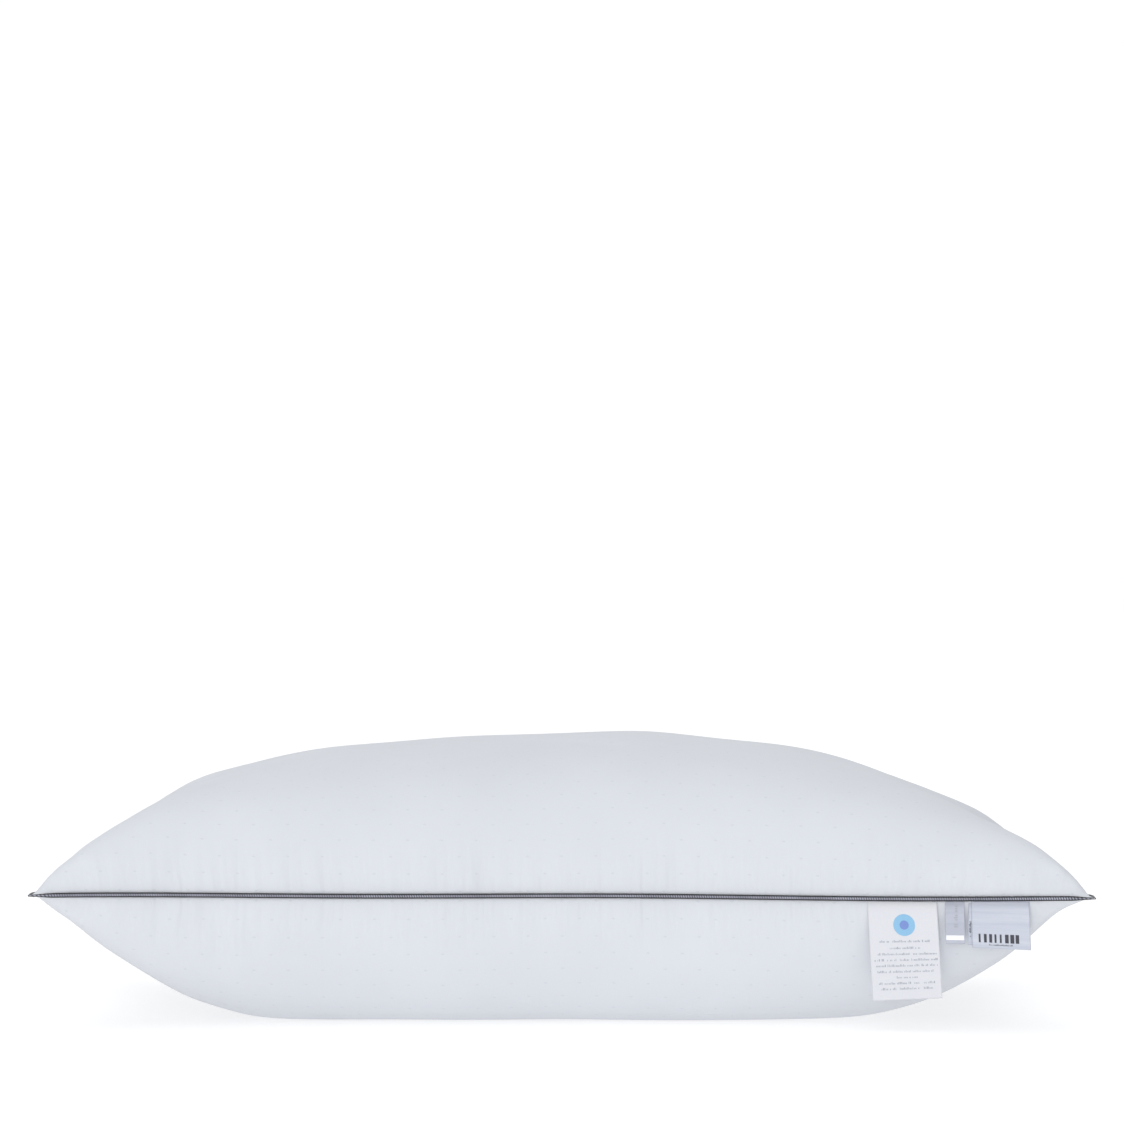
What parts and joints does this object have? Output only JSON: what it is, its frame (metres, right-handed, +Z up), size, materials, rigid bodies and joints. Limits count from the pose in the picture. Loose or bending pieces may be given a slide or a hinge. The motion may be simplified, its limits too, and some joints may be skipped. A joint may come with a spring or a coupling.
{
  "type": "bed pillow",
  "caption": "Rectangular bed pillow, crowned and softly filled, with a dark piped edge seam and small labels that hang from the front seam.",
  "frame": {"origin": "on the surface that the pillow lies on, below the middle of the pillow", "axes": "+X along the long side, towards the end that carries the labels; +Y along the short side, away from the labelled seam; +Z up"},
  "size_m": [0.7, 0.5, 0.1905],
  "materials": {
    "ticking": "smooth white cotton ticking with small woven pin dots",
    "hollow_fibre": "loose white hollow fibre",
    "cotton_cord": "twisted cotton filler cord",
    "navy_satin": "dark navy ribbed satin, glossy",
    "white_thread": "spun polyester sewing thread",
    "label_satin": "woven satin label tape, soft sheen",
    "label_nonwoven": "matt printed nonwoven label"
  },
  "bodies": {
    "pillow": {"top_panel": "ticking", "bottom_panel": "ticking", "fibre_filling": "hollow_fibre", "piping_cord": "cotton_cord", "piping_cover": "navy_satin", "needle_thread": "white_thread", "bobbin_thread": "white_thread", "overlock_thread": "white_thread", "closing_thread": "white_thread", "label_tabs": "label_satin"},
    "info_leaf": {"info_label": "label_nonwoven"},
    "size_leaf": {"size_tag": "label_satin"},
    "maker_leaf": {"maker_label": "label_satin", "care_label": "label_satin"}
  },
  "joints": [
    {"name": "info_label_swing", "type": "hinge", "parent": "pillow", "child": "info_leaf", "pos_m": [0.22394, -0.22854, 0.08575], "axis": [-0.9922, 0.1249, 0], "range_deg": [0, 90]},
    {"name": "size_tag_swing", "type": "hinge", "parent": "pillow", "child": "size_leaf", "pos_m": [0.25843, -0.23323, 0.08575], "axis": [-0.9896, 0.1442, 0], "range_deg": [0, 90]},
    {"name": "maker_label_swing", "type": "hinge", "parent": "pillow", "child": "maker_leaf", "pos_m": [0.28792, -0.23777, 0.08575], "axis": [-0.987, 0.1606, 0], "range_deg": [0, 90]}
  ]
}
